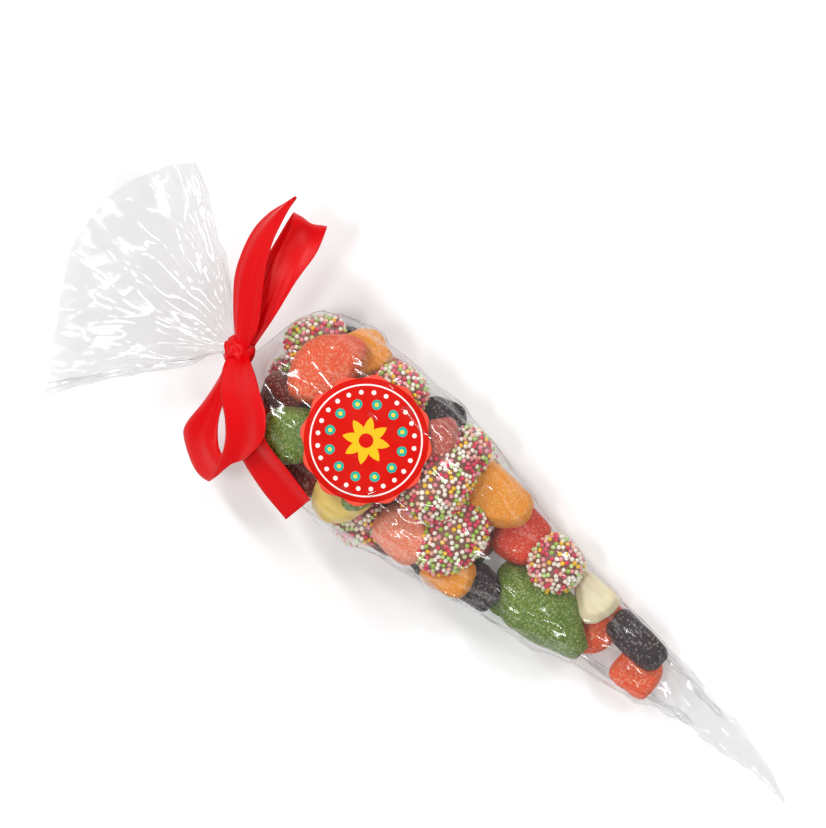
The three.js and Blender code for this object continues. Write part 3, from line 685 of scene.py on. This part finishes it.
# %% [markdown]
# ## One mesh of film
# The rings are joined by extruding a circle of points from each ring to the next, which
# keeps the points in order, so every ring can be laid at its own place. The two long edges
# of a real bag lap over each other in a weld. Here a strip of the sheet is repeated a
# little higher, the sheet is left open there, and an attribute marks the strip, because
# welded film is cloudier.

# %% Loft the film
SEAM_STEPS = 5
LAP_OFF = 0.35 * MM


def loft(work, rings):
    """Extrudes a circle of points through the given rings, and gives back the point rows."""
    row = bmesh.ops.create_circle(work, segments=rings.shape[1], radius=MM)["verts"]
    edges = [e for e in work.edges if e.verts[0] in set(row)]
    rows = [row]
    for n, ring in enumerate(rings):
        if n:
            made = bmesh.ops.extrude_edge_only(work, edges=edges)["geom"]
            edges = [g for g in made if isinstance(g, bmesh.types.BMEdge)]
            rows.append([g for g in made if isinstance(g, bmesh.types.BMVert)])
        for v, place in zip(rows[-1], ring):
            v.co = place
    return rows


lap = skin[:, :SEAM_STEPS] + OUT * outward(skin)[:, :SEAM_STEPS] * LAP_OFF
strip = np.concatenate([skin, lap], axis=1)
work = bmesh.new()
weld_paint = work.verts.layers.float_color.new("weld")
rows = loft(work, strip)
first, last = {r[0] for r in rows}, {r[-1] for r in rows}
closing = [f for f in work.faces if any(v in first for v in f.verts)
           and any(v in last for v in f.verts)]
bmesh.ops.delete(work, geom=closing, context="FACES_ONLY")
bmesh.ops.recalc_face_normals(work, faces=work.faces)
for row in rows:
    for n, v in enumerate(row):
        on_weld = n >= strip.shape[1] - SEAM_STEPS
        v[weld_paint] = (1.0, 1.0, 1.0, 1.0) if on_weld else (0.0, 0.0, 0.0, 1.0)
film_top = BVHTree.FromBMesh(work)
film_area = sum(f.calc_area() for f in work.faces)
print("film area m2", round(film_area, 4))

# %% [markdown]
# ## Clear film
# The film is polypropylene, drawn thin and left clear. It could be made as glass with a
# wall, but light would bend twice in every crease and the sweets would blur. A film so thin
# bends nothing, so a plain transparent shader is mixed with a mirror one. The mirror part
# is weak where the film faces the eye and strong where it is seen edge on, and that is what
# draws its outline and its folds.

# %% Clear polypropylene film
CRINKLE_MM = 9
# The fan's film lets less light through than the bag's: painted shade, standing in for the grey of
# its crumpled layers
LET_THROUGH_FAN_SHADED, LET_THROUGH_BAG = 0.942, 0.972  # the fan is crumpled, and greyer for it
HAZE, WELD_HAZE = 0.01, 0.3
SHINE_FACING, SHINE_EDGE, SHINE_POWER = 0.075, 0.75, 4.5
film_material, tree, shader, output = new_material("clear_film")
place = add_node(tree, "ShaderNodeTexCoord").outputs["Object"]
weld = add_node(tree, "ShaderNodeAttribute", attribute_name="weld").outputs["Fac"]
crinkle = add_node(tree, "ShaderNodeTexNoise", {
    "Vector": place, "Scale": 1 / (CRINKLE_MM * MM), "Detail": 3.0})
fine = add_node(tree, "ShaderNodeBump", {
    "Height": crinkle.outputs["Fac"], "Strength": 0.22, "Distance": 0.6 * MM}).outputs[0]
axes = add_node(tree, "ShaderNodeSeparateXYZ", {"Vector": place})
# Painted shade: the same film is made greyer towards the fan, blended by the distance along the
# bag
let_through = add_node(tree, "ShaderNodeMapRange", {
    "Value": axes.outputs["X"], "From Min": POINT_X - (NECK_END + 12) * MM,
    "From Max": POINT_X - NECK_START * MM, "To Min": LET_THROUGH_FAN_SHADED,
    "To Max": LET_THROUGH_BAG})
clear = add_node(tree, "ShaderNodeBsdfTransparent", {"Color": let_through.outputs[0]})
haze = add_node(tree, "ShaderNodeMath", {0: weld, 1: WELD_HAZE, 2: HAZE},
                operation="MULTIPLY_ADD")
set_sockets(tree, shader, {"Base Color": linear("fafafc"), "Roughness": 0.3, "Normal": fine})
hazy = add_node(tree, "ShaderNodeMixShader", {
    0: haze.outputs[0], 1: clear.outputs[0], 2: shader.outputs[0]})
mirror = add_node(tree, "ShaderNodeBsdfGlossy", {"Normal": fine, "Roughness": 0.14})
edge_on = add_node(tree, "ShaderNodeLayerWeight", {"Normal": fine, "Blend": 0.5})
steep = add_node(tree, "ShaderNodeMath", {0: edge_on.outputs["Facing"], 1: SHINE_POWER},
                 operation="POWER")
shine = add_node(tree, "ShaderNodeMath", {0: steep.outputs[0], 1: SHINE_EDGE, 2: SHINE_FACING},
                 operation="MULTIPLY_ADD")
surface = add_node(tree, "ShaderNodeMixShader", {
    0: shine.outputs[0], 1: hazy.outputs[0], 2: mirror.outputs[0]})
tree.links.new(surface.outputs[0], output.inputs["Surface"])

# %% The finished film
film = finish_piece("film_bag", work, film_material)
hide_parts("bag_film")

# %% [markdown]
# ## The satin bow
# One ribbon, 15 mm wide, goes round the neck and makes a loop over the shoulder, a loop to
# the back and two tails. A curve with a flat profile could follow its middle, but a ribbon
# turns its face as it goes, and that is easier to say with both of its edges. So each run
# is a band between two edge lines, a little hollow across its width and pleated where the
# knot squeezes it.

# %% Runs of the ribbon: both edges of each, from the neck's middle, in millimetres
NECK_MIDDLE = (NECK_START + NECK_END) / 2
FRONT_LOOP = [
    ((-2.4, 2.5, 9), (2.6, -1.5, 9)),
    ((-9.9, -1.9, 20.5), (-0.6, -9.5, 13)),
    ((-16.8, -6.5, 30), (-5.8, -16.5, 18.5)),
    ((-24.4, -11.9, 34), (-13.4, -23.1, 22)),
    ((-29.4, -19.9, 32), (-19.2, -31.1, 19)),
    ((-28.4, -28.5, 24), (-23, -43.5, 9)),
    ((-25.8, -32, 16), (-20.8, -46.1, 1)),
    ((-22.4, -34, 11), (-13.9, -45, -4.5)),
    ((-19, -33.9, 7), (-4.4, -39.1, -8.5)),
    ((-15, -30.9, 3.5), (-1.6, -34.1, -7.5)),
    ((-10.2, -24.2, 2), (-1.4, -23, -4)),
    ((-6, -13.3, 4), (0, -11.5, 1.5)),
    ((-1.9, -3.5, 7), (2.1, -2.5, 7)),
]
BACK_LOOP = [
    ((-2.9, 3.5, 9), (2.6, 1.5, 9)),
    ((-2, 18.1, 6), (8.2, 17.1, 6)),
    ((-0.2, 34.1, 4), (13.8, 31.5, 3)),
    ((2, 48.5, 6), (16.2, 44.9, 4)),
    ((3.6, 56.9, 11), (17.2, 54.1, 8.5)),
    ((2.8, 56.5, 15.5), (15.6, 51.9, 14.5)),
    ((0, 47.5, 19), (13.2, 43.5, 17.5)),
    ((-0.8, 34.5, 19), (10.2, 31.5, 17.5)),
    ((-2.8, 18.5, 15), (5.2, 16.5, 14)),
    ((-3.8, 5.5, 10), (2.6, 3.5, 10)),
]
LONG_TAIL = [
    ((-2.9, 1.5, 10.5), (2.6, 1.5, 10.5)),
    ((-1, 11.5, 18), (9.6, 8.9, 13)),
    ((6.2, 23.5, 23), (18, 20.1, 15)),
    ((11.6, 32.5, 25.5), (22, 29.5, 17.5)),
    ((15.2, 40.5, 27), (24.2, 39.5, 19)),
    ((17.2, 48.1, 28.5), (23.4, 48.1, 21.5)),
    ((18.4, 54.5, 30), (20.6, 55.1, 27)),
    ((18.5, 58.9, 31), (19, 59.3, 31)),
]
SHORT_TAIL = [
    ((-3.4, 1.5, 9), (0.6, -2.5, 9)),
    ((-10.8, -2.5, 19), (-3.8, -6.5, 12)),
    ((-17, -6.9, 27), (-9.8, -13.5, 17)),
    ((-23.8, -12.9, 31), (-15.4, -21.9, 19)),
    ((-30.6, -19.3, 29), (-24.6, -29.1, 17)),
    ((-44.4, -22.5, 26.6), (-39.8, -34.9, 16.6)),
    ((-57.3, -25.6, 26), (-54.8, -37.9, 16)),
]

# %% Bands between two edge lines
RIBBON_THICK = 0.36
ACROSS = 16
STEPS_PER_STATION = 14
PLEAT_WAVES = (1.5, 2.5, 3.5)  # pleats across the width


def smooth_line(points, count):
    """A curve through points by Catmull and Rom, with even steps in between."""
    points = np.array(points, float)
    padded = np.vstack([2 * points[0] - points[1], points, 2 * points[-1] - points[-2]])
    steps = np.linspace(0, len(points) - 1, count)
    out = []
    for t in steps:
        k = min(int(t), len(points) - 2)
        f = t - k
        p0, p1, p2, p3 = padded[k : k + 4]
        out.append(0.5 * (2 * p1 + (p2 - p0) * f
                          + (2 * p0 - 5 * p1 + 4 * p2 - p3) * f**2
                          + (3 * p1 - p0 - 3 * p2 + p3) * f**3))
    return np.array(out)


def at_neck(points):
    """From along, side and height at the neck's middle to the frame, in metres."""
    return np.stack([POINT_X - (NECK_MIDDLE + points[..., 0]) * MM,
                     SIDE_SHIFT + (NECK_SIDE + points[..., 1]) * MM,
                     (NECK_HEIGHT + points[..., 2]) * MM], axis=-1)


def ribbon_run(work, stations, seed, loop):
    """One run of ribbon: a thin closed band with pleats that fade away from the knot."""
    count = STEPS_PER_STATION * (len(stations) - 1)
    edges = [at_neck(smooth_line([s[e] for s in stations], count)) for e in (0, 1)]
    share = np.linspace(0, 1, ACROSS + 1)[None, :, None]
    sheet = edges[0][:, None] * (1 - share) + edges[1][:, None] * share
    normal = np.cross(np.gradient(sheet, axis=0), edges[1][:, None] - edges[0][:, None])
    normal /= np.linalg.norm(normal, axis=2, keepdims=True) + 1e-12
    walked = np.cumsum(np.linalg.norm(np.diff(sheet.mean(axis=1), axis=0), axis=1))
    walked = np.append(0, walked) / MM
    from_knot = np.minimum(walked, walked[-1] - walked) if loop else walked
    rng = np.random.default_rng(seed)
    across = np.linspace(0, 1, ACROSS + 1)
    lift = np.zeros(sheet.shape[:2])
    for wave in PLEAT_WAVES:
        fade = np.exp(-from_knot / (9 + 4 * wave))[:, None]
        lift += 0.5 / wave * fade * np.sin(across * wave * 2 * math.pi + rng.uniform(0, 6))
    lift += 0.8 * np.sin(math.pi * across)
    lift += 0.3 * np.sin(3 * math.pi * across + walked[:, None] / 14)
    lift += 0.25 * np.sin(walked[:, None] / 9 + 4 * across + rng.uniform(0, 6)) * across
    sheet = sheet + normal * lift[:, :, None] * MM
    half = normal * RIBBON_THICK / 2 * MM
    rings = np.concatenate([sheet + half, (sheet - half)[:, ::-1]], axis=1)
    loft(work, rings)
    bmesh.ops.holes_fill(work, edges=[e for e in work.edges if e.is_boundary], sides=0)
    return walked[-1]


# %% The four runs
RUNS = [(FRONT_LOOP, True), (BACK_LOOP, True), (LONG_TAIL, False), (SHORT_TAIL, False)]
work = bmesh.new()
ribbon_long = sum(ribbon_run(work, run, seed, loop) for seed, (run, loop) in enumerate(RUNS))
print("ribbon runs mm", round(float(ribbon_long)))

# %% The wrap round the neck
WRAP_WIDE, WRAP_RADIUS = 7.6, 5.0
WRAP_INNER = WRAP_RADIUS - 0.1
TURN_STEPS = 96
face = np.linspace(-0.5, 0.5, 15)
wrap_rings = []
for t in np.linspace(0, 2 * math.pi, TURN_STEPS + 1)[:-1]:
    lift = 0.25 + 0.28 * np.cos(face * 22 + 0.6 * math.sin(2 * t)) + 0.5 * (1 - (2 * face) ** 4)
    outer = np.stack([face * WRAP_WIDE, (WRAP_RADIUS + lift) * math.cos(t),
                      (WRAP_RADIUS + lift) * math.sin(t)], axis=1)
    inner = np.stack([face * WRAP_WIDE, np.full(len(face), WRAP_INNER * math.cos(t)),
                      np.full(len(face), WRAP_INNER * math.sin(t))], axis=1)
    wrap_rings.append(np.concatenate([outer, inner[::-1]]))
wrap_rings.append(wrap_rings[0])
loft(work, at_neck(np.array(wrap_rings)))

# %% The knot
KNOT_AT, KNOT_SIZE = np.array([0, 0.8, 9.0]), np.array([-12, 10.5, 9])
knot = bmesh.ops.create_uvsphere(work, u_segments=72, v_segments=40, radius=0.5)["verts"]
for v in knot:
    x, y, z = v.co * 2
    pleat = 1 + 0.06 * math.sin(8 * math.atan2(y, z) + 1.5 * x) + 0.04 * math.sin(9 * x + 3 * y)
    v.co = at_neck(KNOT_AT + np.array([x, y, z]) * KNOT_SIZE * pleat / 2)
bmesh.ops.remove_doubles(work, verts=work.verts, dist=1e-4 * MM)
bmesh.ops.recalc_face_normals(work, faces=work.faces)
ribbon_area = sum(f.calc_area() for f in work.faces) / 2
print("open ribbon edges", sum(e.is_boundary for e in work.edges))

# %% [markdown]
# ## Red satin
# Satin is woven so that long threads float on its face. They mirror the light in a streak
# across the direction in which the ribbon bends, so the shader's highlight is stretched
# with its anisotropy. The threads are far too fine to draw one by one: a noise as wide as
# a few of them varies the red and roughens the face a little.

# %% Red satin
THREAD_MM = 0.35  # a few threads wide, because a single one is too fine to show
# Dyed polyester satin: a deep even red with a low, stretched highlight and hardly any sheen
satin, tree, shader, _ = new_material("red_satin")
place = add_node(tree, "ShaderNodeTexCoord").outputs["Object"]
thread = add_node(tree, "ShaderNodeTexNoise", {
    "Vector": place, "Scale": 1 / (THREAD_MM * MM), "Detail": 1.0})
cloth = add_node(tree, "ShaderNodeMix", {
    0: thread.outputs["Fac"], 6: linear("d00005"), 7: linear("e60008")}, data_type="RGBA")
weave = add_node(tree, "ShaderNodeBump", {
    "Height": thread.outputs["Fac"], "Strength": 0.12, "Distance": 0.05 * MM})
set_sockets(tree, shader, {
    "Base Color": cloth.outputs[2], "Normal": weave.outputs[0], "Roughness": 0.4,
    "Anisotropic": 0.6, "Sheen Weight": 0.02, "Sheen Tint": linear("ff5050"),
    "Specular IOR Level": 0.2})

# %% The finished bow
bow = finish_piece("satin_bow", work, satin)
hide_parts("ribbon")

# %% [markdown]
# ## The sticker
# A round paper sticker with a scalloped edge lies on the film near the shoulder and takes
# its shape. A shrinkwrap modifier could press it on, but it would also follow every small
# crease, which paper is too stiff for. So rings of points are dropped on the film, the
# heights are smoothed so slowly that no point sinks far into a fold, and the rings are
# joined into a thin closed disc.

# %% Lay the sticker on the film
STICKER_RADIUS, SCALLOPS, SCALLOP_DEEP = 25.0, 12, 1.5
STICKER_POINTS, STICKER_RINGS = 288, 40
PAPER_OFF, PAPER_THICK = 0.3 * MM, 0.15 * MM
DROP_FROM, NO_FILM = 0.2, 50 * MM
centre = Vector((POINT_X - STICKER_ALONG * MM, SIDE_SHIFT + STICKER_SIDE * MM, 0))
angles = np.arange(STICKER_POINTS) * 2 * math.pi / STICKER_POINTS
wave = SCALLOP_DEEP / 2 * (1 - np.cos(SCALLOPS * angles))
rim = (STICKER_RADIUS - wave) * MM
disc_rings = np.array([
    np.stack([centre.x + share * rim * np.cos(angles), centre.y + share * rim * np.sin(angles),
              np.zeros(STICKER_POINTS)], axis=1)
    for share in np.linspace(0.02, 1, STICKER_RINGS)])
for ring in disc_rings:
    for place in ring:
        hit = film_top.ray_cast(Vector((place[0], place[1], DROP_FROM)), Vector((0, 0, -1)))[0]
        place[2] = hit.z if hit else NO_FILM
SMOOTHINGS, SINK_AT_MOST = 30, 0.05 * MM
heights = disc_rings[:, :, 2]
for _ in range(SMOOTHINGS):
    around = (np.roll(heights, 1, axis=1) + np.roll(heights, -1, axis=1)) / 2
    inward = heights.copy()
    inward[1:-1] = (heights[2:] + heights[:-2]) / 2
    heights[:] = np.maximum((around + inward) / 2, heights - SINK_AT_MOST)
print("sticker lies between mm", (heights.min() / MM).round(1), (heights.max() / MM).round(1))

# %% Join the sticker's rings, and flatten a plan of it
low = disc_rings + np.array([0, 0, PAPER_OFF])
top = low + np.array([0, 0, PAPER_THICK])
work = bmesh.new()
plan = work.loops.layers.uv.new("plan")
loft(work, np.concatenate([low, top[::-1]]))
bmesh.ops.holes_fill(work, edges=[e for e in work.edges if e.is_boundary], sides=0)
for f in work.faces:
    for corner in f.loops:
        away = (corner.vert.co - centre) / (STICKER_RADIUS * MM)
        corner[plan].uv = (away.x, away.y)
bmesh.ops.recalc_face_normals(work, faces=work.faces)

# %% [markdown]
# ## The print
# A printed picture would need an image file, and a pattern of sums needs none: the plan
# gives each point its distance and its bearing from the middle, and every ring, dot and
# star is a test on these two. The inks lie over each other in order, each one a colour mix
# with its own test as the factor. The design is a plain one: a gold star, and rings of dots.

# %% Bearings on the plan
# Coated paper with a dull varnish: strong flat inks and only a faint highlight
paper, paper_tree, shader, _ = new_material("printed_sticker_paper")
plan_place = add_node(paper_tree, "ShaderNodeUVMap", uv_map="plan").outputs[0]
parts = add_node(paper_tree, "ShaderNodeSeparateXYZ", {"Vector": plan_place})
far = add_node(paper_tree, "ShaderNodeVectorMath", {0: plan_place},
               operation="LENGTH").outputs["Value"]
bearing = add_node(paper_tree, "ShaderNodeMath", {0: parts.outputs[1], 1: parts.outputs[0]},
                   operation="ARCTAN2").outputs[0]


# %% Tests for dots, circles and the star
def ring_of_dots(count, radius, size, start=0.0):
    """1 inside any of the dots that stand evenly on a circle."""
    half_step = math.pi / count
    turned = add_node(paper_tree, "ShaderNodeMath", {0: bearing, 1: start}, operation="ADD")
    nearest = add_node(paper_tree, "ShaderNodeMath", {
        0: turned.outputs[0], 1: half_step, 2: -half_step}, operation="WRAP")
    sideways = add_node(paper_tree, "ShaderNodeMath", {0: nearest.outputs[0], 1: radius},
                        operation="MULTIPLY")
    spot = add_node(paper_tree, "ShaderNodeCombineXYZ", {"X": sideways.outputs[0], "Y": far})
    away = add_node(paper_tree, "ShaderNodeVectorMath", {0: spot.outputs[0], 1: (0, radius, 0)},
                    operation="DISTANCE")
    return add_node(paper_tree, "ShaderNodeMath", {0: away.outputs["Value"], 1: size},
                    operation="LESS_THAN").outputs[0]


def circle_line(radius, half_width):
    """1 on a thin circle."""
    return add_node(paper_tree, "ShaderNodeMath", {0: far, 1: radius, 2: half_width},
                    operation="COMPARE").outputs[0]


def inside(edge):
    """1 nearer to the middle than the edge, which is a number or changes with the bearing."""
    return add_node(paper_tree, "ShaderNodeMath", {0: far, 1: edge},
                    operation="LESS_THAN").outputs[0]


STAR_POINTS, STAR_TURN, STAR_INNER, STAR_SLOPE = 8, 7.0, 0.2, 0.42
turned = add_node(paper_tree, "ShaderNodeMath", {0: bearing, 1: STAR_TURN}, operation="ADD")
zigzag = add_node(paper_tree, "ShaderNodeMath", {0: turned.outputs[0], 1: math.pi / STAR_POINTS},
                  operation="PINGPONG")
star_edge = add_node(paper_tree, "ShaderNodeMath", {
    0: zigzag.outputs[0], 1: STAR_SLOPE, 2: STAR_INNER}, operation="MULTIPLY_ADD").outputs[0]

# %% Printed paper
STICKER_RED = "d80e00"
PRINT = [
    (circle_line(0.97, 0.03), "ff5a46"),
    (circle_line(0.84, 0.012), "fff4ee"),
    (ring_of_dots(24, 0.73, 0.035), "fff4ee"),
    (ring_of_dots(12, 0.56, 0.075, 0.13), "22b4a4"),
    (ring_of_dots(12, 0.56, 0.032, 0.13), "ffd84a"),
    (inside(star_edge), "ffc21e"),
    (inside(0.11), STICKER_RED),
]
ink = linear(STICKER_RED)
for mask, tone in PRINT:
    layer = add_node(paper_tree, "ShaderNodeMix", {0: mask, 6: ink, 7: linear(tone)},
                     data_type="RGBA")
    ink = layer.outputs[2]
set_sockets(paper_tree, shader, {
    "Base Color": ink, "Roughness": 0.5, "Specular IOR Level": 0.12})
sticker = finish_piece("round_sticker", work, paper)
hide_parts("sticker")
print("inks over each other", len(PRINT))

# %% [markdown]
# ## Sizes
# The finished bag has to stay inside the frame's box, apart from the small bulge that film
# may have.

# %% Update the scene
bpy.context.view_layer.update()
